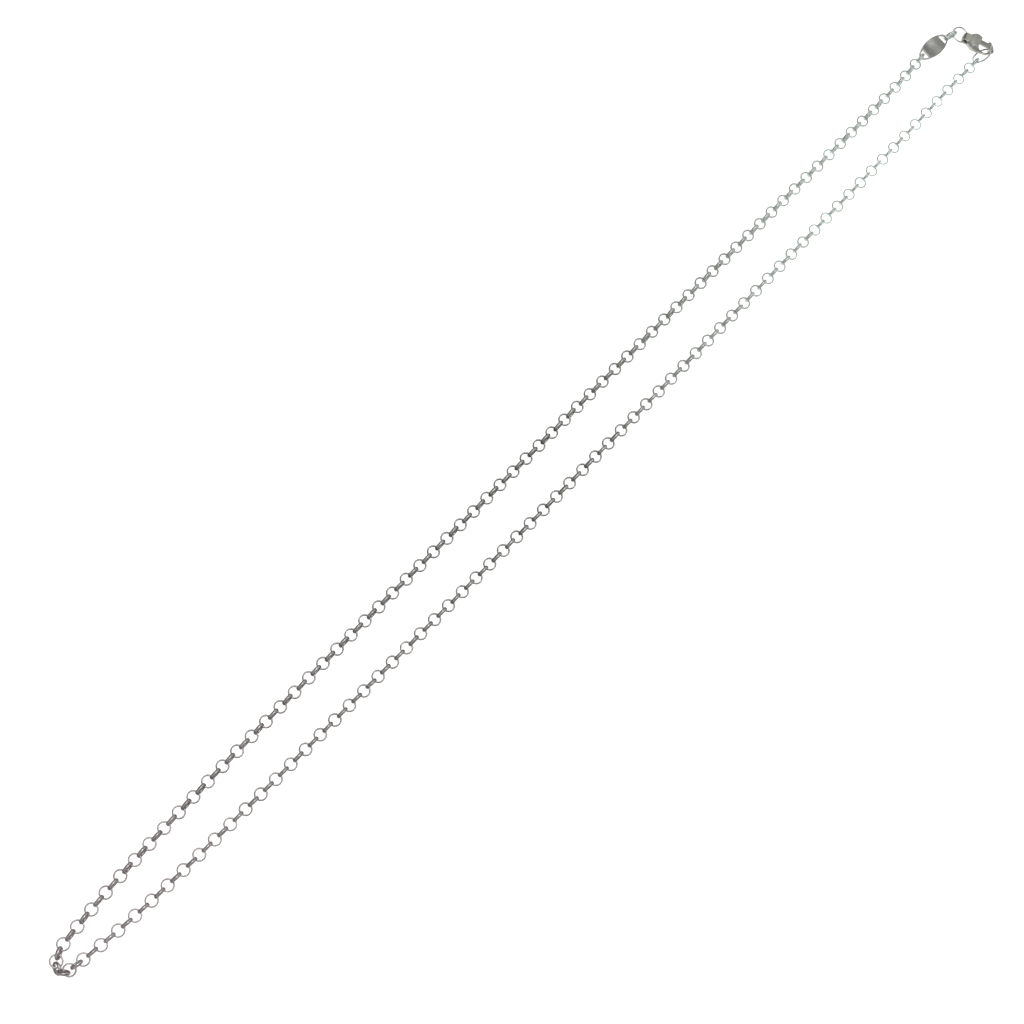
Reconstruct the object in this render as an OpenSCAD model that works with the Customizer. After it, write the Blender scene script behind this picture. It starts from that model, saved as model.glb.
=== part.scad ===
// Rolo chain necklace with an oval tag and a lobster clasp, laid out as a long closed loop.
// Millimetres. +X runs along the two strands from the bend to the clasp, +Z is up from the surface.
// The origin lies on the surface, under the middle of the whole necklace.

/* [Links] */
// Outer diameter of one round link
link_d = 2.35; // [2.25:0.05:2.45]
// Thickness of a link's wire, measured along the radius
link_t = 0.24; // [0.18:0.01:0.25]
// Width of a link's wire, measured along the link's own axis
link_w = 0.6; // [0.45:0.05:0.65]
// How far the inside of the wire is domed
link_dome = 0.07; // [0.05:0.01:0.09]
// Least play between two linked links
link_play = 0.11; // [0.1:0.01:0.14]
// How much more play the slacker upper strand has in each link
upper_slack = 0.03; // [0.01:0.01:0.05]

/* [Strands] */
// Lean of the upright links in the upper strand, in degrees
upper_lean = 6; // [0:1:8]
// Lean of the upright links in the lower strand, in degrees
lower_lean = 2; // [0:1:8]
// Length of the lower strand that is a plain tube
tube_l = 70; // [66:2:110]
// Length of real links between the tube and the end ring
tail_l = 7; // [5:0.5:12]

/* [Tag] */
// Length of the oval tag
tag_l = 7.5; // [7.2:0.1:8.4]
// Width of the oval tag
tag_w = 3.4; // [3.1:0.1:3.7]
// Thickness of the oval tag
tag_t = 0.5; // [0.3:0.05:0.55]
// Radius of the tag's two rounded ends
tag_end_r = 1.0; // [0.9:0.05:1.1]
// Width of the rim outside each slot
tag_rim = 0.36; // [0.32:0.02:0.4]
// Length of each slot along the tag
slot_l = 1.1; // [1.0:0.05:1.2]
// Radius of each slot's round side
slot_r = 0.8; // [0.75:0.05:0.85]
// Outer diameter of the bigger link between the tag and the clasp's ring
tag_link_d = 3.0; // [2.9:0.05:3.1]

/* [Rings] */
// Outer diameter of the ring that carries the clasp
clasp_ring_d = 3.4; // [3.3:0.1:3.6]
// Outer diameter of the ring that the clasp hooks into
end_ring_d = 3.96; // [3.92:0.02:4.04]
// Diameter of the wire of both rings
ring_wire = 0.34; // [0.32:0.02:0.38]

/* [Clasp] */
// Thickness of the clasp's body
body_t = 2.0; // [1.9:0.05:2.1]
// Distance from the lug's bore to the widest place of the body
body_l = 1.75; // [1.7:0.05:1.9]
// Distance from the middle to the cheek's centre on the arm's side, at the widest place
cheek_y = 0.8; // [0.76:0.02:0.84]
// Distance from the middle to the cheek's centre on the lever's side, at the widest place
lever_cheek_y = 1.0; // [0.94:0.02:1.04]
// Width of the lug at the rear of the clasp
lug_w = 1.6; // [1.4:0.05:1.7]
// Outer radius of the lug
lug_r = 0.88; // [0.84:0.02:0.94]
// Radius of the bore through the lug
lug_bore_r = 0.48; // [0.44:0.02:0.5]
// Distance from the lug's bore to the tip of the claw's nose
nose_x = 5.9; // [5.8:0.1:6.2]
// Radius of the claw's round nose
nose_r = 0.6; // [0.55:0.05:0.65]
// Radius of the thin arm's round edge, where it meets the nose
arm_r = 0.4; // [0.38:0.02:0.44]
// Length of the hole inside the claw
hole_l = 2.2; // [2.1:0.1:2.3]
// Width of the hole inside the claw
hole_w = 1.65; // [1.6:0.05:1.7]
// How far the clasp's nose is lifted, in degrees
clasp_pitch = 5; // [4:0.5:6]

/* [Lever] */
// Width of the lever's arm
lever_w = 0.75; // [0.65:0.05:0.8]
// Height of the lever
lever_h = 0.8; // [0.6:0.05:0.9]
// Radius of the lever's round thumb knob
knob_r = 0.4; // [0.3:0.05:0.5]
// Radius of the lever's pin
pin_r = 0.2; // [0.15:0.01:0.22]
// Clearance between the pin and its bores
pin_clear = 0.03; // [0.02:0.01:0.05]
// Clearance above and below the lever in its slot
lever_clear = 0.06; // [0.05:0.01:0.08]
// Gap between the lever's tip and the hook's tip
tip_gap = 0.07; // [0.05:0.01:0.1]

/* [Hidden] */

SILVER = "#a3a39d";
DARK_SILVER = "#83837e";

// Middle line of the upper strand, from the tag to the bend: x, y
UPPER_ROUTE = [[110.3, 4.6], [102, 4.1], [88, 4.0], [60, 4.1], [20, 4.2], [-20, 4.2], [-50, 4.2],
               [-70, 4.1], [-86, 3.9], [-102, 3.4], [-112, 2.8], [-119.4, 2.05]];
// Middle line of the lower strand, from the bend to the end ring: x, y
LOWER_ROUTE = [[-118.95, -1.9], [-111, -2.7], [-102, -3.2], [-84, -3.6], [-67, -3.8], [-40, -4.0],
               [-10, -4.2], [20, -4.15], [50, -4.0], [75, -3.85], [95, -3.65], [108, -3.4], [118.1, -3.4]];
// The six links of the bend: x, y, height above the strands' middle, heading, lean
BEND_LINKS = [[-120.9, 1.55, 0, 25, -15],
              [-122.05, 0.95, 0, 0, 90],
              [-122.75, 0.05, 0, 65, 20],
              [-122.6, -1.1, 0.5, -50, 20],
              [-121.6, -1.5, 0, -15, -80],
              [-120.25, -1.7, 0.1, -10, 10]];
FLAT = 90;
// The middle of the whole necklace, in the numbers of the three lists above
MIDDLE = [0.14, 0.32];

chain_z = link_d / 2;
hole_r = link_d / 2 - link_t;
link_pitch = 2 * hole_r - link_play;

// Radius of a round dome of height rise over a chord of length chord
function dome_r(chord, rise) = (chord * chord / 4 + rise * rise) / (2 * rise);

// Point at share t between points b and c of a smooth curve that passes through a, b, c and d
function smooth_point(a, b, c, d, t) =
    0.5 * (2 * b + (c - a) * t + (2 * a - 5 * b + 4 * c - d) * t * t + (3 * b - a - 3 * c + d) * t * t * t);

STEPS = 10;
function smooth_route(p) = concat(
    [for (i = [0 : len(p) - 2], k = [0 : STEPS - 1])
        smooth_point(p[max(i - 1, 0)], p[i], p[i + 1], p[min(i + 2, len(p) - 1)], k / STEPS)],
    [p[len(p) - 1]]);

// The same points with the distance walked so far: distance, x, y
function walked(p) = [for (i = 0, s = 0; i < len(p);
    s = s + (i + 1 < len(p) ? norm(p[i + 1] - p[i]) : 0), i = i + 1) [s, p[i][0], p[i][1]]];
function walk_length(w) = w[len(w) - 1][0];
function walk_point(w, s) = [lookup(s, [for (q = w) [q[0], q[1]]]), lookup(s, [for (q = w) [q[0], q[2]]])];
function walk_heading(w, s) =
    let (a = walk_point(w, s - link_d / 2), b = walk_point(w, s + link_d / 2)) atan2(b[1] - a[1], b[0] - a[0]);

upper_walk = walked(smooth_route([for (p = UPPER_ROUTE) p - MIDDLE]));
lower_walk = walked(smooth_route([for (p = LOWER_ROUTE) p - MIDDLE]));
upper_l = walk_length(upper_walk);
lower_l = walk_length(lower_walk);

// Each strand has as many links as its length takes: it starts or ends with a flat one at the bend
upper_count = 2 * ceil((upper_l / (link_pitch - upper_slack) + 1) / 2);
lower_count = 2 * ceil((lower_l / link_pitch + 1) / 2);
upper_pitch = upper_l / (upper_count - 1);
lower_pitch = lower_l / (lower_count - 1);

// The plain tube stands for the links between these two numbers of the lower strand
tail_count = round(tail_l / lower_pitch);
tube_last = lower_count - 1 - tail_count;
tube_first = tube_last + 1 - round(tube_l / lower_pitch);
TUBE_GAP = 0.15;

// One round link of oval wire, flat on the XY plane about the origin
module link_ring(outer_d) {
    outer_r = dome_r(link_w, link_t - link_dome);
    inner_r = dome_r(link_w, link_dome);
    rotate_extrude($fn = 48)
        intersection() {
            translate([outer_d / 2 - outer_r, 0]) circle(outer_r, $fn = 48);
            translate([outer_d / 2 - link_t + inner_r, 0]) circle(inner_r, $fn = 48);
        }
}

// A link at place p, turned to a heading, upright at lean 0 and flat at lean 90
module link(p, heading, lean) {
    translate(p) rotate([0, 0, heading]) rotate([lean - 90, 0, 0]) link_ring(link_d);
}

// The link of a strand at distance s along its walk
module strand_link(w, s, lean) {
    p = walk_point(w, s);
    link([p[0], p[1], chain_z], walk_heading(w, s), lean);
}

module chain() {
    color(SILVER) {
        for (i = [0 : upper_count - 1])
            strand_link(upper_walk, i * upper_pitch, i % 2 == 0 ? upper_lean : FLAT);
        for (b = BEND_LINKS)
            link([b[0] - MIDDLE[0], b[1] - MIDDLE[1], chain_z + b[2]], b[3], b[4]);
        for (i = [0 : lower_count - 1])
            if (i < tube_first || i > tube_last)
                strand_link(lower_walk, i * lower_pitch, i % 2 == 1 ? lower_lean : FLAT);
    }
}

// Plain stretch of the lower strand: a tube swept along the same route
TUBE_SIDES = 8;
module chain_end() {
    start = (tube_first - 1) * lower_pitch + link_d / 2 + TUBE_GAP;
    end = (tube_last + 1) * lower_pitch - link_d / 2 - TUBE_GAP;
    rings = ceil((end - start) / (2 * link_d));
    r = chain_z / cos(180 / TUBE_SIDES);
    places = [for (k = [0 : rings]) start + (end - start) * k / rings];
    points = [for (s = places, j = [0 : TUBE_SIDES - 1])
        let (p = walk_point(lower_walk, s), h = walk_heading(lower_walk, s), a = 360 * (j + 0.5) / TUBE_SIDES)
            [p[0] - sin(h) * r * cos(a), p[1] + cos(h) * r * cos(a), chain_z + r * sin(a)]];
    walls = [for (k = [0 : rings - 1], j = [0 : TUBE_SIDES - 1])
        let (n = (j + 1) % TUBE_SIDES)
            [k * TUBE_SIDES + j, k * TUBE_SIDES + n, (k + 1) * TUBE_SIDES + n, (k + 1) * TUBE_SIDES + j]];
    color(SILVER)
        polyhedron(points, concat([[for (j = [TUBE_SIDES - 1 : -1 : 0]) j]], walls,
                                  [[for (j = [0 : TUBE_SIDES - 1]) rings * TUBE_SIDES + j]]));
}

// Points of an arc about a centre, without its last one
function arc_points(centre, r, from, to, steps) =
    [for (i = [0 : steps - 1]) let (a = from + (to - from) * i / steps) centre + r * [cos(a), sin(a)]];

// Oval outline of two long and two short arcs that meet without a corner
END_STEPS = 16;
SIDE_STEPS = 12;
module oval(length, width, end_r) {
    c = length / 2 - end_r;
    k = width / 2 - end_r;
    e = (c * c - k * k) / (2 * k);
    side_r = e + width / 2;
    lift = atan2(e, c);
    polygon(concat(arc_points([c, 0], end_r, -lift, lift, END_STEPS),
                   arc_points([0, -e], side_r, lift, 180 - lift, SIDE_STEPS),
                   arc_points([-c, 0], end_r, 180 - lift, 180 + lift, END_STEPS),
                   arc_points([0, e], side_r, 180 + lift, 360 - lift, SIDE_STEPS)));
}

// A link through one of the tag's slots keeps this distance between its wire and the rim
TAG_HEADING = -4;
TAG_LINK_HEADING = -20;
TAG_PLAY = 0.3;
last_upper = walk_point(upper_walk, 0);
tag_hold = hole_r - tag_rim - TAG_PLAY;
tag_link_hold = tag_link_d / 2 - link_t - tag_rim - TAG_PLAY;
tag_centre = last_upper + (tag_l / 2 + tag_hold) * [cos(TAG_HEADING), sin(TAG_HEADING)];
tag_link_at = tag_centre + (tag_l / 2 - tag_end_r) * [cos(TAG_HEADING), sin(TAG_HEADING)]
    + (tag_end_r + tag_link_hold) * [cos(TAG_LINK_HEADING), sin(TAG_LINK_HEADING)];

module tag_plate() {
    color(DARK_SILVER)
        translate([tag_centre[0], tag_centre[1], chain_z - tag_t / 2])
            rotate([0, 0, TAG_HEADING])
                linear_extrude(tag_t)
                    difference() {
                        oval(tag_l, tag_w, tag_end_r);
                        for (side = [-1, 1])
                            intersection() {
                                oval(tag_l - 2 * tag_rim, tag_w - 2 * tag_rim, slot_r);
                                translate([side * (tag_l / 2 - tag_rim - slot_l / 2), 0])
                                    square([slot_l, tag_w], center = true);
                            }
                    }
}

// One bigger link of the chain's own kind joins the tag to the clasp's ring
module tag_link() {
    color(SILVER)
        translate([tag_link_at[0], tag_link_at[1], tag_link_d / 2])
            rotate([0, 0, TAG_LINK_HEADING]) rotate([-90, 0, 0]) link_ring(tag_link_d);
}

module wire_ring(outer_d) {
    rotate_extrude($fn = 64)
        translate([(outer_d - ring_wire) / 2, 0]) circle(ring_wire / 2, $fn = 32);
}

// The clasp's ring rises from the bore of the clasp's lug to the tag's link
RING_PLAY = 0.3;
RING_TILT = 6;
RING_HEADING = -32;
LUG_HEADING = -72;
clasp_z = body_t / 2;
clasp_ring_r = (clasp_ring_d - ring_wire) / 2;
ring_hold = tag_link_d / 2 - link_t - ring_wire / 2 - RING_PLAY;
ring_bow = clasp_ring_r - sqrt(clasp_ring_r * clasp_ring_r - lug_w * lug_w / 4);
clasp_ring_at = tag_link_at + (clasp_ring_r + ring_hold) * [cos(RING_HEADING), sin(RING_HEADING)];
clasp_at = clasp_ring_at + (clasp_ring_r - ring_bow / 2) * [cos(LUG_HEADING), sin(LUG_HEADING)];
CLASP_HEADING = -74;

module clasp_ring() {
    color(SILVER)
        translate([clasp_at[0], clasp_at[1], clasp_z])
            rotate([0, 0, LUG_HEADING]) rotate([0, RING_TILT, 0])
                translate([ring_bow / 2 - clasp_ring_r, 0, 0]) wire_ring(clasp_ring_d);
}

// The end ring leans through the claw: place in the clasp's own frame, then heading and lean
END_RING_PLACE = [4.0, -2.23, 0.65];
END_RING_HEADING = 8;
END_RING_LEAN = 35;
module end_ring() {
    p = [clasp_at[0], clasp_at[1], clasp_z]
        + [cos(CLASP_HEADING) * END_RING_PLACE[0] - sin(CLASP_HEADING) * END_RING_PLACE[1],
           sin(CLASP_HEADING) * END_RING_PLACE[0] + cos(CLASP_HEADING) * END_RING_PLACE[1],
           END_RING_PLACE[2]];
    color(SILVER)
        translate(p) rotate([0, 0, END_RING_HEADING]) rotate([END_RING_LEAN - 90, 0, 0]) wire_ring(end_ring_d);
}

// The clasp's own frame: +X from the lug to the claw, +Y to the lever's side, origin in the lug's bore
module clasp_frame() {
    translate([clasp_at[0], clasp_at[1], clasp_z])
        rotate([0, 0, CLASP_HEADING]) rotate([0, -clasp_pitch, 0]) children();
}

// The claw's hole is a rounded slot, a little to the side away from the lever
HOLE_END = 4.85;
HOLE_SIDE = 0.52;
hole_end_r = hole_w / 2;
hole_from = HOLE_END - hole_l + hole_end_r;
hole_to = HOLE_END - hole_end_r;

// The lever's pin stands in the cheek on the lever's side, in a boss of the lever
PIN_SETBACK = 0.15;
PIN_RECESS = 0.04;
BOSS_WALL = 0.3;
BOSS_ROOM = 0.1;
pin_at = [body_l + PIN_SETBACK, lever_cheek_y];
lever_at = hole_end_r - HOLE_SIDE;
lever_boss_r = pin_r + BOSS_WALL;

// The lever's tip and knob stay inside a circle about the pin, which also cuts the claw's mouth
KNOB_SETBACK = 0.75;
MOUTH_FROM = 1.0;
MOUTH_DEPTH = 0.3;
SLOT_DEPTH = 0.6;
knob_at = [nose_x - nose_r - KNOB_SETBACK, lever_at + lever_w + knob_r / 2];
mouth_r = norm(knob_at - pin_at) + knob_r + tip_gap;

// The skin of the body runs over two rear shoulders, two cheeks, and the arm's and nose's bends
SHOULDER_X = 1.25;
SHOULDER_SIDES = [-0.5, 0.6];
ARM_BEND = [-0.8, -1.12];
NOSE_SIDE = -0.1;
NOSE_BEND = [-0.5, 0.7];
cheek_r = body_t / 2;

// The lug is as broad as the body's rear, and rounded in plan
LUG_PLAN_R = 1.2;
module lug() {
    intersection() {
        union() {
            rotate([90, 0, 0]) cylinder(h = lug_w, r = lug_r, center = true, $fn = 48);
            translate([0, -lug_w / 2, -lug_r]) cube([body_l, lug_w, 2 * lug_r]);
        }
        translate([LUG_PLAN_R - lug_r, 0, -lug_r]) cylinder(h = 2 * lug_r, r = LUG_PLAN_R, $fn = 64);
    }
}

// Egg-shaped body and nose in one skin
module clasp_core() {
    nose = [nose_x - nose_r, 0];
    hull() {
        for (side = SHOULDER_SIDES)
            translate([SHOULDER_X, side, 0]) sphere(cheek_r, $fn = 40);
        for (side = [-cheek_y, lever_cheek_y])
            translate([body_l, side, 0]) sphere(cheek_r, $fn = 40);
        translate(nose + ARM_BEND) sphere(arm_r, $fn = 40);
        translate(nose + [0, NOSE_SIDE]) sphere(nose_r, $fn = 40);
        translate(nose + NOSE_BEND) sphere(nose_r, $fn = 40);
    }
}

module hole_shape() {
    for (x = [hole_from, hole_to])
        translate([x, -HOLE_SIDE]) circle(hole_end_r, $fn = 48);
    translate([hole_from, -HOLE_SIDE - hole_end_r]) square([hole_to - hole_from, hole_w]);
}

// Plan of the room round the lever from one corner to the hook's tip
module lever_room(corner) {
    intersection() {
        translate(pin_at) circle(mouth_r, $fn = 96);
        translate(corner) square(2 * mouth_r);
    }
}

module clasp_body() {
    slot_h = lever_h + 2 * lever_clear;
    color(SILVER)
        clasp_frame()
            difference() {
                union() {
                    lug();
                    clasp_core();
                }
                rotate([90, 0, 0]) cylinder(h = 2 * body_t, r = lug_bore_r, center = true, $fn = 48);
                translate([0, 0, -body_t]) linear_extrude(2 * body_t) hole_shape();
                translate([0, 0, -body_t])
                    linear_extrude(2 * body_t) lever_room([body_l + MOUTH_FROM, lever_at - MOUTH_DEPTH]);
                translate([0, 0, -slot_h / 2])
                    linear_extrude(slot_h)
                        lever_room([pin_at[0] - lever_boss_r - BOSS_ROOM, lever_at - SLOT_DEPTH]);
                translate([pin_at[0], pin_at[1], -body_t])
                    cylinder(h = 2 * body_t, r = pin_r + pin_clear, $fn = 32);
            }
}

// The lever runs from its pin to the nose and closes the hole's open side
module clasp_lever() {
    color(DARK_SILVER)
        clasp_frame()
            difference() {
                union() {
                    translate([0, 0, -lever_h / 2])
                        linear_extrude(lever_h) {
                            translate(pin_at) circle(lever_boss_r, $fn = 32);
                            intersection() {
                                translate(pin_at) circle(mouth_r - tip_gap, $fn = 96);
                                translate([pin_at[0], lever_at]) square([2 * mouth_r, lever_w]);
                            }
                        }
                    translate(knob_at) sphere(knob_r, $fn = 32);
                }
                translate([pin_at[0], pin_at[1], -lever_h])
                    cylinder(h = 2 * lever_h, r = pin_r + pin_clear, $fn = 32);
            }
}

module clasp_pin() {
    pin_l = body_t - 2 * PIN_RECESS;
    color(DARK_SILVER)
        clasp_frame()
            translate([pin_at[0], pin_at[1], -pin_l / 2]) cylinder(h = pin_l, r = pin_r, $fn = 32);
}

chain();
chain_end();
tag_plate();
tag_link();
clasp_ring();
end_ring();
clasp_body();
clasp_lever();
clasp_pin();
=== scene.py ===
import math
import random

import bmesh
import bpy
import numpy as np
from mathutils import Matrix, Vector


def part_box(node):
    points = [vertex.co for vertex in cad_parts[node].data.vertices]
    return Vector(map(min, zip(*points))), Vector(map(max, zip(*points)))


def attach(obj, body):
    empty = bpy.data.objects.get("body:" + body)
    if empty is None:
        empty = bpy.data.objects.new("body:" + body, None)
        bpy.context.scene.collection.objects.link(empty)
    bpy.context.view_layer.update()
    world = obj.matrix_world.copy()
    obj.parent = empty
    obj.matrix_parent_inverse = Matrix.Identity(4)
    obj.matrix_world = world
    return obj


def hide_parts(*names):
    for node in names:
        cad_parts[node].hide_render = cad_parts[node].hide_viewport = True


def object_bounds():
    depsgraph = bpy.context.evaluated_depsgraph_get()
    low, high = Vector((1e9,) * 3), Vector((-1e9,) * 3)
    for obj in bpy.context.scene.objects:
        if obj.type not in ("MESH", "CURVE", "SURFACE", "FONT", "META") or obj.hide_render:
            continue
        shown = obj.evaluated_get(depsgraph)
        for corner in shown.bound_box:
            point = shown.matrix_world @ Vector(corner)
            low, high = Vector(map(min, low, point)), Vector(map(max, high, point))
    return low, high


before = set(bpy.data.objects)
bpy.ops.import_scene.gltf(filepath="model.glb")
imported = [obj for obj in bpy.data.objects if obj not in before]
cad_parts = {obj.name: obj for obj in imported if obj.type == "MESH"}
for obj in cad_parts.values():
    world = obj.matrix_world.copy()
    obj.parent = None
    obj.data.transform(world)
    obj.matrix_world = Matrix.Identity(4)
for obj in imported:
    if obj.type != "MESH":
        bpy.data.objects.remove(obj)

cad_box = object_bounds()
MM = 0.001

# The camera stands high above the bend and looks down on the middle of the two strands. It is
# rolled, so that they run from the picture's lower left corner to its upper right.
CAMERA_AT = Vector((-166.75, -14.66, 397.0)) * MM
LOOK_AT = Vector((-14.14, -0.86, 0.0)) * MM
CAMERA_ROLL = math.radians(39)
SENSOR_WIDTH = 36
LENS = 86.39

camera_data = bpy.data.cameras.new("camera")
camera_data.sensor_width = SENSOR_WIDTH
camera_data.lens = LENS
camera = bpy.data.objects.new("camera", camera_data)
bpy.context.scene.collection.objects.link(camera)
sight = (LOOK_AT - CAMERA_AT).to_track_quat("-Z", "Y").to_matrix().to_4x4()
camera.matrix_world = Matrix.Translation(CAMERA_AT) @ sight @ Matrix.Rotation(CAMERA_ROLL, 4, "Z")
bpy.context.scene.camera = camera


# The necklace lies on a white sheet that is lit and also glows, until it has almost no shadow left. Its
# glow is even to the camera, and in the silver's reflections it is a painted glow that changes from place
# to place. A soft strip of light runs over the strands in a dim room with a white backdrop, and a small
# lamp fills in from above.
SHEET_SIDE = 3.0
SHEET_DROP = 0.01
SHEET_GLOW = 0.85
PAPER_SEEN = 0.85
PAPER_MIRRORED = 0.3
# How bright the sheet is in the silver: along the strands from the bend, and across them
HALF_RUN = 0.13
SHEEN_STOPS = [(0.0, 0.35), (0.25, 0.15), (0.5, 0.02), (0.68, 0.6), (0.85, 1.4), (0.92, 1.4), (1.0, 0.7)]
HALF_WIDTH = 0.03
SHEEN_SIDES = [(0.0, 1.4), (0.4, 1.2), (0.6, 0.6), (1.0, 0.5)]
BACKDROP = (1, 1, 1, 1)
ROOM_DIM = 0.16
# How bright the strip is in each direction along the strands, and where its two sides fade out
STRIP_STOPS = [(0.0, 0.4), (0.35, 0.5), (0.5, 0.3), (0.61, 0.45), (0.66, 1.9), (0.69, 2.0), (0.73, 0.0),
               (0.76, 0.05), (0.79, 1.15), (0.815, 0.2), (0.835, 0.2), (0.87, 0.9), (0.92, 0.5), (1.0, 0.4)]
STRIP_EDGES = (0.45, 0.85)
LAMP_AT = Vector((-0.03, 0.02, 0.62))
LAMP_SIZE = (0.4, 0.2)
LAMP_POWER = 0.45


class Shade:
    """One output of a material's nodes. A sign between two, or with a number, adds a Math node."""

    def __init__(self, tree, socket=None):
        self.tree = tree
        self.socket = socket

    def node(self, kind, settings, values, output=0):
        """Any node: its settings are set first, then the values or links of its sockets."""
        made = self.tree.nodes.new(kind)
        for name, value in settings.items():
            if name == "stops":
                set_stops(made.color_ramp, value)
            else:
                setattr(made, name, value)
        for name, value in values.items():
            if isinstance(value, Shade):
                self.tree.links.new(value.socket, made.inputs[name])
            else:
                made.inputs[name].default_value = value
        return Shade(self.tree, made.outputs[output] if len(made.outputs) else None)

    def maths(self, operation, first, second):
        return self.node("ShaderNodeMath", {"operation": operation}, {0: first, 1: second})

    def __abs__(self):
        return self.node("ShaderNodeMath", {"operation": "ABSOLUTE"}, {0: self})

    def __add__(self, other):
        return self.maths("ADD", self, other)

    def __rsub__(self, other):
        return self.maths("SUBTRACT", other, self)

    def __mul__(self, other):
        return self.maths("MULTIPLY", self, other)

    __radd__ = __add__
    __rmul__ = __mul__


def set_stops(ramp, stops):
    """Gives a ramp its stops, each a place and a grey level or a colour."""
    while len(ramp.elements) < len(stops):
        ramp.elements.new(0.5)
    for element, (place, level) in zip(ramp.elements, stops):
        element.position = place
        element.color = (*level, 1) if isinstance(level, tuple) else (level, level, level, 1)


def graded(value, half, stops):
    """The colours of a ramp's stops, over a value that runs from minus half to half."""
    return value.node("ShaderNodeValToRGB", {"stops": stops}, {0: value * (0.5 / half) + 0.5})


def new_material(name):
    """An empty material, and the shade that its nodes are made from."""
    material = bpy.data.materials.new(name)
    material.use_nodes = True
    material.node_tree.nodes.clear()
    return material, Shade(material.node_tree)


def new_piece(name, bm, material):
    """A smooth piece from a finished mesh, with its material."""
    mesh = bpy.data.meshes.new(name)
    bm.to_mesh(mesh)
    bm.free()
    mesh.materials.append(material)
    mesh.shade_smooth()
    piece = bpy.data.objects.new(name, mesh)
    bpy.context.scene.collection.objects.link(piece)
    return piece


sheet_material, shade = new_material("white_sheet")
seen = shade.node("ShaderNodeLightPath", {}, {}, "Is Camera Ray")
where = shade.node("ShaderNodeTexCoord", {}, {}, "Object")
along = shade.node("ShaderNodeSeparateXYZ", {}, {0: where}, "X")
across = shade.node("ShaderNodeSeparateXYZ", {}, {0: where}, "Y")
sheen = graded(along, HALF_RUN, SHEEN_STOPS)
sides = graded(across, HALF_WIDTH, SHEEN_SIDES)
# Painted glow: even for the camera, brighter or dimmer by place where the silver reflects it
glow = shade.node("ShaderNodeEmission", {}, {"Strength": seen * SHEET_GLOW + (1 - seen) * sheen * sides})
white = seen * (PAPER_SEEN - PAPER_MIRRORED) + PAPER_MIRRORED
paper = shade.node("ShaderNodeBsdfDiffuse", {}, {"Color": white})
both = shade.node("ShaderNodeAddShader", {}, {0: glow, 1: paper})
shade.node("ShaderNodeOutputMaterial", {}, {"Surface": both})
bm = bmesh.new()
bmesh.ops.create_grid(bm, x_segments=1, y_segments=1, size=SHEET_SIDE / 2)
bmesh.ops.translate(bm, verts=bm.verts, vec=(0, 0, cad_box[0][2] - SHEET_DROP * MM))
new_piece("white_sheet", bm, sheet_material)

world = bpy.data.worlds.new("dim_room")
world.use_nodes = True
world.node_tree.nodes.clear()
room = Shade(world.node_tree)
direction = room.node("ShaderNodeTexCoord", {}, {}, "Generated")
along = room.node("ShaderNodeSeparateXYZ", {}, {0: direction}, "X")
across = abs(room.node("ShaderNodeSeparateXYZ", {}, {0: direction}, "Y"))
strip = graded(along, 1, STRIP_STOPS)
inside = room.node("ShaderNodeMapRange", {"interpolation_type": "SMOOTHSTEP"},
                   {0: across, 1: STRIP_EDGES[1], 2: STRIP_EDGES[0]})
walls = room.node("ShaderNodeBackground", {}, {"Strength": inside * strip + ROOM_DIM})
backdrop = room.node("ShaderNodeBackground", {}, {"Color": BACKDROP})
seen = room.node("ShaderNodeLightPath", {}, {}, "Is Camera Ray")
mixed = room.node("ShaderNodeMixShader", {}, {0: seen, 1: walls, 2: backdrop})
room.node("ShaderNodeOutputWorld", {}, {"Surface": mixed})
bpy.context.scene.world = world
bpy.context.scene.view_settings.view_transform = "Standard"

lamp_data = bpy.data.lights.new("soft_lamp", "AREA")
lamp_data.shape = "RECTANGLE"
lamp_data.size, lamp_data.size_y = LAMP_SIZE
lamp_data.energy = LAMP_POWER
lamp = bpy.data.objects.new("soft_lamp", lamp_data)
lamp.matrix_world = Matrix.Translation(LAMP_AT)
lamp.visible_camera = False
bpy.context.scene.collection.objects.link(lamp)


# The chain is round links of oval silver wire, each soldered shut and passed through the next at a
# right angle: one stands, one lies. The slack bend at the far end holds six turned links.
LINK_R = 1.175
LINK_SIDES = 16
# The wire's section: depth below the link's outer radius, and height along its axis
WIRE_SECTION = [(0.18, -0.30), (0.02, -0.15), (0.02, 0.15), (0.18, 0.30), (0.275, 0.16), (0.275, -0.16)]
# The two strands' middle lines, in millimetres, and the point of that plan that lies at the origin
UPPER_ROUTE = [[110.3, 4.6], [102, 4.1], [88, 4.0], [60, 4.1], [20, 4.2], [-20, 4.2], [-50, 4.2],
               [-70, 4.1], [-86, 3.9], [-102, 3.4], [-112, 2.8], [-119.4, 2.05]]
LOWER_ROUTE = [[-118.95, -1.9], [-111, -2.7], [-102, -3.2], [-84, -3.6], [-67, -3.8], [-40, -4.0],
               [-10, -4.2], [20, -4.15], [50, -4.0], [75, -3.85], [95, -3.65], [108, -3.4], [118.1, -3.4]]
MIDDLE = np.array([0.14, 0.32])
ROUTE_STEPS = 10
UPPER_LINKS = 134
LOWER_LINKS = 136
# How far the links lean over, in degrees, and how far each strays from that and from its heading
FLAT = 90
UPPER_LEAN = 6
LOWER_LEAN = 2
LEAN_PLAY = 4.0
HEADING_PLAY = 2.0
# Each link of the bend: x, y, height above the strands' middle, heading, lean
BEND_LINKS = [[-120.9, 1.55, 0, 25, -15],
              [-122.05, 0.95, 0, 0, 90],
              [-122.75, 0.05, 0, 65, 20],
              [-122.6, -1.1, 0.5, -50, 20],
              [-121.6, -1.5, 0, -15, -80],
              [-120.25, -1.7, 0.1, -10, 10]]
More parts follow.
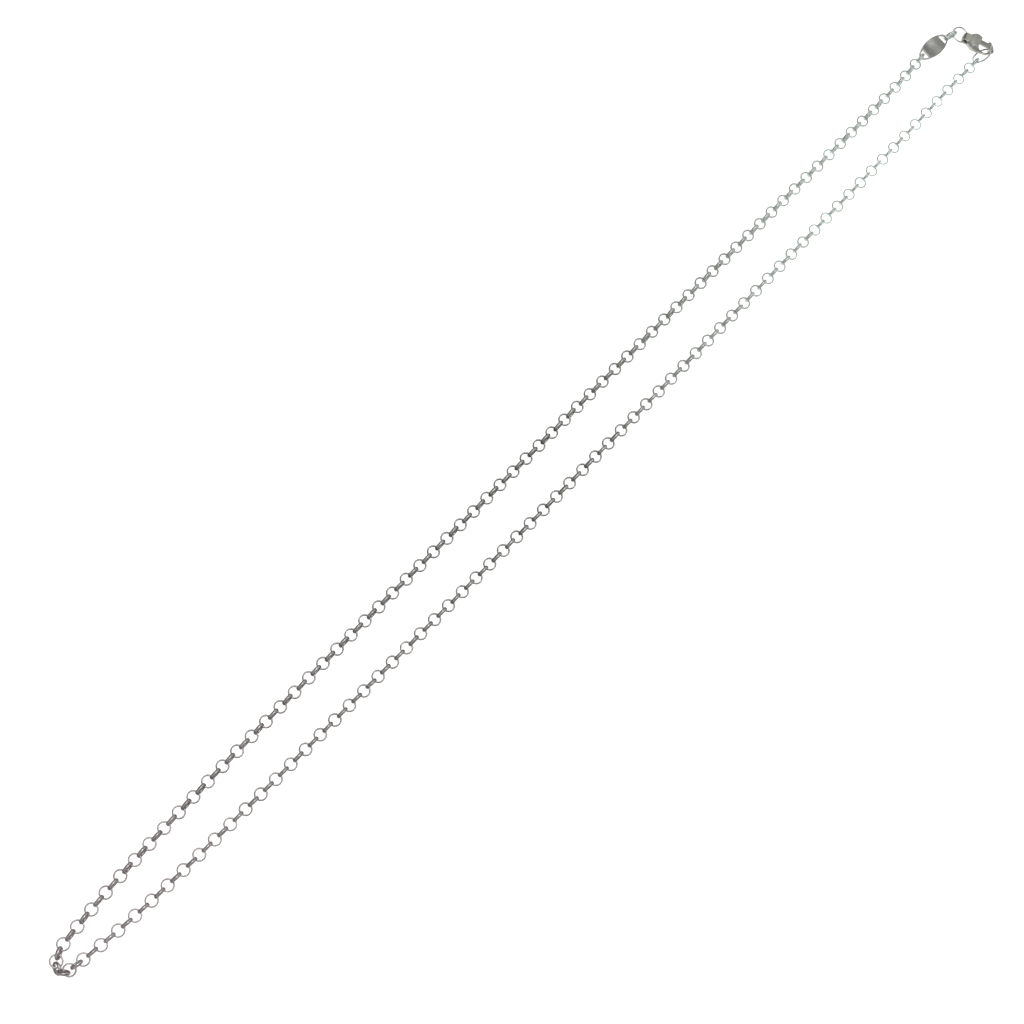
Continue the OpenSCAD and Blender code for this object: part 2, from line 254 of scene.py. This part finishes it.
# The silver's colour from the bend to the clasp, with painted light: its tint is made lighter or darker
# by place along the chain, standing in for how the light falls on it. Then its roughness where it is
# clean and where it is tarnished, and how fine the patches of tarnish are
CHAIN_TONE_AND_PAINTED_LIGHT = [(0.0, (0.74, 0.67, 0.69)), (0.25, (0.68, 0.65, 0.645)), (0.5, (0.68, 0.69, 0.66)),
               (0.75, (0.8, 0.87, 0.835)), (1.0, (0.74, 0.82, 0.795))]
CHAIN_GLOSS = (0.18, 0.3)
CHAIN_PATCH = 500.0
TARNISH = (0.7, 0.69, 0.66, 1)
TARNISH_EDGES = (0.35, 0.65)
PATCH_DETAIL = 3.0
# How much of a link's tarnish is in patches: the rest covers the whole link
PATCH_SHARE = 0.6
# The fine scratches that all the silver has: how small, how deep in millimetres, how much they blur
GRAIN_SCALE = 9000.0
GRAIN_DETAIL = 2.0
GRAIN_DEPTH = 0.003
GRAIN_STRENGTH = 0.1
GRAIN_BLUR = 0.06
chance = random.Random(7)


def smooth_route(points):
    """The points of a route, with nine more on a smooth curve between each two."""
    ends = [points[0], *points, points[-1]]
    route = []
    for a, b, c, d in zip(ends, ends[1:], ends[2:], ends[3:]):
        for t in np.arange(ROUTE_STEPS) / ROUTE_STEPS:
            squared = (2 * a - 5 * b + 4 * c - d) * t**2
            route.append(0.5 * (2 * b + (c - a) * t + squared + (3 * b - a - 3 * c + d) * t**3))
    return np.array([*route, points[-1]])


class Strand:
    """The middle line of a strand, by the distance walked along it."""

    def __init__(self, route):
        self.points = smooth_route(np.array(route) - MIDDLE)
        steps = np.linalg.norm(np.diff(self.points, axis=0), axis=1)
        self.walk = np.concatenate([[0], np.cumsum(steps)])

    def at(self, distance):
        return np.array([np.interp(distance, self.walk, self.points[:, k]) for k in (0, 1)])

    def places(self, count, upright_lean, first_upright):
        """The link places of the strand: every second link stands, and the others lie flat."""
        made = []
        for i in range(count):
            distance = self.walk[-1] * i / (count - 1)
            x, y = self.at(distance)
            along = self.at(distance + LINK_R) - self.at(distance - LINK_R)
            heading = math.degrees(math.atan2(along[1], along[0])) + chance.uniform(-1, 1) * HEADING_PLAY
            stands = (i % 2 == 0) == first_upright
            lean = upright_lean + chance.uniform(-1, 1) * LEAN_PLAY if stands else FLAT
            made.append(link_place(x, y, 0, heading, lean))
        return made


def link_place(x, y, lift, heading, lean):
    """Where a link goes: it stands at lean 0 and lies flat at lean 90."""
    middle = Matrix.Translation(Vector((x, y, LINK_R + lift)) * MM)
    turn = Matrix.Rotation(math.radians(heading), 4, "Z")
    return middle @ turn @ Matrix.Rotation(math.radians(lean - FLAT), 4, "X")


def spin_ring(section, sides, gap=0.0):
    """A ring about Z: a closed section of radii and heights, in millimetres, spun once round. An
    angle of gap leaves it open there, with flat ends."""
    bm = bmesh.new()
    loop = [bm.verts.new((radius * MM, 0, height * MM)) for radius, height in section]
    edges = [bm.edges.new((loop[i - 1], loop[i])) for i in range(len(loop))]
    bmesh.ops.spin(bm, geom=loop + edges, cent=(0, 0, 0), axis=(0, 0, 1), angle=math.tau - gap,
                   steps=sides, use_merge=not gap)
    bmesh.ops.holes_fill(bm, edges=[edge for edge in bm.edges if edge.is_boundary])
    bmesh.ops.recalc_face_normals(bm, faces=bm.faces)
    return bm


def spin_link(outer_r):
    """One round link of the chain's wire."""
    return spin_ring([(outer_r - depth, height) for depth, height in WIRE_SECTION], LINK_SIDES)


def silver(name, tone_and_painted_light, gloss, patch, wear=None):
    """Worn polished silver: soft patches of tarnish, and fine scratches that blur the gloss.
    The tone is one colour, or stops of a ramp from the bend to the clasp, which paints light and shade
    along the chain as a tint made lighter or darker by place. The wear is the name of an attribute that
    says how tarnished each link is as a whole."""
    smooth, rough = gloss
    material, shade = new_material(name)
    where = shade.node("ShaderNodeTexCoord", {}, {}, "Object")
    patches = shade.node("ShaderNodeTexNoise", {}, {
        "Vector": where, "Scale": patch, "Detail": PATCH_DETAIL})
    grain = shade.node("ShaderNodeTexNoise", {}, {
        "Vector": where, "Scale": GRAIN_SCALE, "Detail": GRAIN_DETAIL})
    tarnish = shade.node("ShaderNodeMapRange", {}, {0: patches, 1: TARNISH_EDGES[0], 2: TARNISH_EDGES[1]})
    if wear:
        own = shade.node("ShaderNodeAttribute", {"attribute_name": wear}, {}, "Fac")
        tarnish = tarnish * PATCH_SHARE + (1 - PATCH_SHARE) * own
    # A ramp of stops is painted light: the tint grows lighter or darker along the chain
    if isinstance(tone_and_painted_light, list):
        along = shade.node("ShaderNodeSeparateXYZ", {}, {0: where}, "X")
        tone_and_painted_light = graded(along, HALF_RUN, tone_and_painted_light)
    else:
        tone_and_painted_light = (*tone_and_painted_light, 1)
    colour = shade.node("ShaderNodeMix", {"data_type": "RGBA", "blend_type": "MULTIPLY"},
                        {0: tarnish, 6: tone_and_painted_light, 7: TARNISH}, 2)
    roughness = smooth + (rough - smooth) * tarnish + GRAIN_BLUR * grain
    bump = shade.node("ShaderNodeBump", {}, {
        "Strength": GRAIN_STRENGTH, "Distance": GRAIN_DEPTH * MM, "Height": grain})
    metal = shade.node("ShaderNodeBsdfPrincipled", {}, {
        "Base Color": colour, "Metallic": 1.0, "Roughness": roughness, "Normal": bump})
    shade.node("ShaderNodeOutputMaterial", {}, {"Surface": metal})
    return material


# The links' silver carries the painted light of its ramp from the bend to the clasp
link_material = silver("link_silver_painted_light", CHAIN_TONE_AND_PAINTED_LIGHT, CHAIN_GLOSS, CHAIN_PATCH, wear="wear")

upper = Strand(UPPER_ROUTE).places(UPPER_LINKS, UPPER_LEAN, True)
bend = [link_place(x - MIDDLE[0], y - MIDDLE[1], lift, heading, lean)
        for x, y, lift, heading, lean in BEND_LINKS]
lower = Strand(LOWER_ROUTE).places(LOWER_LINKS, LOWER_LEAN, False)

link = spin_link(LINK_R)
link_mesh = bpy.data.meshes.new("link")
link.to_mesh(link_mesh)
link.free()
bm = bmesh.new()
wear = bm.verts.layers.float.new("wear")
for place in upper + bend + lower:
    first = len(bm.verts)
    bm.from_mesh(link_mesh)
    bm.verts.ensure_lookup_table()
    fresh = bm.verts[first:]
    bmesh.ops.transform(bm, matrix=place, verts=fresh)
    worn = chance.random()
    for vert in fresh:
        vert[wear] = worn
chain = new_piece("chain_links", bm, link_material)
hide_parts("chain", "chain_end")
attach(chain, "necklace")


# One bigger link joins the tag to the clasp's ring. It is a round ring of the chain's own oval
# silver wire, opened sideways to take both in and soldered shut.
TAG_LINK_R = 1.5


def round_place(node, long=False):
    """The place of a round node: its middle, with Z along its axis. A long node is longer than wide."""
    points = np.array([vert.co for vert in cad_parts[node].data.vertices])
    middle = (points.max(0) + points.min(0)) / 2
    axis = Vector(np.linalg.svd(points - middle, full_matrices=False)[2][0 if long else 2])
    if max(axis, key=abs) < 0:
        axis.negate()
    return Matrix.Translation(middle) @ axis.to_track_quat("Z", "Y").to_matrix().to_4x4()


bm = spin_link(TAG_LINK_R)
bmesh.ops.transform(bm, matrix=round_place("tag_link"), verts=bm.verts)
tag_link = new_piece("tag_link_wire", bm, link_material)
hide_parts("tag_link")
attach(tag_link, "necklace")


# The tag is an oval stamped from silver sheet, with a crescent slot pierced near each end. Its
# edges are rounded by tumbling, its ends are bent down a little by wear, and it is left plain.
TAG_TONE = (0.62, 0.63, 0.6)
TAG_GLOSS = (0.1, 0.16)
TAG_PATCH = 350.0
TAG_HEADING = math.radians(-4)
TAG_SAG = 0.2
TAG_CUTS = 9
TAG_EDGE = 0.08
EDGE_STEPS = 3
# Corners nearer than this, in millimetres, are merged, and so are faces that meet this flat or
# flatter, in degrees. The edges that are sharper than the last angle are the ones rounded.
WELD = 0.001
LEVEL = 1
SHARP = 40


def round_edges(bm, sharper_than, radius, steps):
    """Rounds each edge whose faces meet at more than an angle, in degrees."""
    sharp = [edge for edge in bm.edges if edge.calc_face_angle(0) > math.radians(sharper_than)]
    bmesh.ops.bevel(bm, geom=sharp, offset=radius * MM, segments=steps, profile=0.5,
                    affect="EDGES", material=-1)


tag_material = silver("tag_silver", TAG_TONE, TAG_GLOSS, TAG_PATCH)
low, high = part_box("tag_plate")
middle = (low + high) / 2
half = (high - low).x / 2
tag_run = Vector((math.cos(TAG_HEADING), math.sin(TAG_HEADING), 0))
bm = bmesh.new()
bm.from_mesh(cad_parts["tag_plate"].data)
bmesh.ops.remove_doubles(bm, verts=bm.verts, dist=WELD * MM)
bmesh.ops.dissolve_limit(bm, angle_limit=math.radians(LEVEL), verts=bm.verts, edges=bm.edges)
round_edges(bm, SHARP, TAG_EDGE, EDGE_STEPS)
for k in range(TAG_CUTS):
    cut = middle + tag_run * half * (2 * (k + 1) / (TAG_CUTS + 1) - 1)
    bmesh.ops.bisect_plane(bm, geom=bm.verts[:] + bm.edges[:] + bm.faces[:], plane_co=cut, plane_no=tag_run)
for vert in bm.verts:
    vert.co.z -= TAG_SAG * MM * ((vert.co - middle).dot(tag_run) / half) ** 2
tag = new_piece("tag_oval", bm, tag_material)
tag.modifiers.new("flat_faces", "WEIGHTED_NORMAL")
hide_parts("tag_plate")
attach(tag, "necklace")


# Two plain rings of round silver wire, one between the tag's link and the clasp, and one at the
# lower strand's end, which the clasp hooks into. Each is bent shut, with a hairline at the joint.
RING_WIRE = 0.34
RING_SIDES = 56
WIRE_SIDES = 12
JOINT_GAP = 0.03
JOINT_EDGE = 0.02
# The rim of cut wire is an edge sharper than this, in degrees
RIM = 60
RING_TONE = (0.78, 0.82, 0.8)
RING_GLOSS = (0.15, 0.26)
RING_PATCH = 600.0
# Each ring's node, its outer diameter, and where its joint lies, in degrees
RINGS = [("clasp_ring", 3.4, 200), ("end_ring", 3.96, 100)]

ring_material = silver("ring_silver", RING_TONE, RING_GLOSS, RING_PATCH)
for node, outer_d, seam in RINGS:
    turns = [math.tau * k / WIRE_SIDES for k in range(WIRE_SIDES)]
    middle_r = (outer_d - RING_WIRE) / 2
    section = [(middle_r + RING_WIRE / 2 * math.cos(a), RING_WIRE / 2 * math.sin(a)) for a in turns]
    bm = spin_ring(section, RING_SIDES, JOINT_GAP / middle_r)
    round_edges(bm, RIM, JOINT_EDGE, 1)
    bmesh.ops.rotate(bm, verts=bm.verts, cent=(0, 0, 0), matrix=Matrix.Rotation(math.radians(seam), 3, "Z"))
    bmesh.ops.transform(bm, matrix=round_place(node), verts=bm.verts)
    ring = new_piece(node + "_wire", bm, ring_material)
    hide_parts(node)
    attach(ring, "necklace")


# The clasp's body is cast in silver in one piece: a lug with a cross bore, an egg-shaped body, and
# a hook round an oblong hole. Casting and tumbling leave no sharp edge on it.
CLASP_TONE = (0.6, 0.61, 0.57)
CLASP_GLOSS = (0.26, 0.38)
CLASP_PATCH = 300.0
SKIN_GRAIN = 0.04
SKIN_ROUNDS = 20


def cast(name, node, material):
    """A cast piece: the node's own shape in a fine even skin, with all its edges tumbled round. The
    skin is made in millimetres, because its grain is too fine in metres."""
    bm = bmesh.new()
    bm.from_mesh(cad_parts[node].data)
    bmesh.ops.remove_doubles(bm, verts=bm.verts, dist=WELD * MM)
    bmesh.ops.scale(bm, verts=bm.verts, vec=(1 / MM, 1 / MM, 1 / MM))
    piece = new_piece(name, bm, material)
    skin = piece.modifiers.new("skin", "REMESH")
    skin.mode = "VOXEL"
    skin.voxel_size = SKIN_GRAIN
    skin.use_smooth_shade = True
    tumbled = piece.modifiers.new("tumbled", "SMOOTH")
    tumbled.iterations = SKIN_ROUNDS
    finished = bpy.data.meshes.new_from_object(piece.evaluated_get(bpy.context.evaluated_depsgraph_get()))
    finished.transform(Matrix.Scale(MM, 4))
    piece.modifiers.clear()
    piece.data = finished
    return piece


clasp_material = silver("clasp_silver", CLASP_TONE, CLASP_GLOSS, CLASP_PATCH)
clasp = cast("clasp_cast_body", "clasp_body", clasp_material)
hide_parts("clasp_body")
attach(clasp, "necklace")


# The lever is a small silver casting too, with a round knob that the thumb pulls back. Its silver is
# painted darker than the body's, as painted shade of the hollow between lever and body. It sits in the
# body's slot, where a spring holds it shut.
LEVER_PAINTED_SHADE_TONE = (0.42, 0.43, 0.4)

lever_material = silver("lever_silver_painted_shade", LEVER_PAINTED_SHADE_TONE, CLASP_GLOSS, CLASP_PATCH)
lever = cast("clasp_thumb_lever", "clasp_lever", lever_material)
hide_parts("clasp_lever")
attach(lever, "lever")


# The lever turns on a rivet of round silver wire, which goes through the body and has a domed head
# at each end.
RIVET_R = 0.2
RIVET_L = 1.92
RIVET_SIDES = 24
RIVET_DOME = 0.09

bm = bmesh.new()
bmesh.ops.create_cone(bm, cap_ends=True, segments=RIVET_SIDES, radius1=RIVET_R * MM,
                      radius2=RIVET_R * MM, depth=RIVET_L * MM)
round_edges(bm, RIM, RIVET_DOME, EDGE_STEPS)
bmesh.ops.transform(bm, matrix=round_place("clasp_pin", long=True), verts=bm.verts)
pin = new_piece("clasp_rivet", bm, ring_material)
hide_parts("clasp_pin")
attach(pin, "necklace")
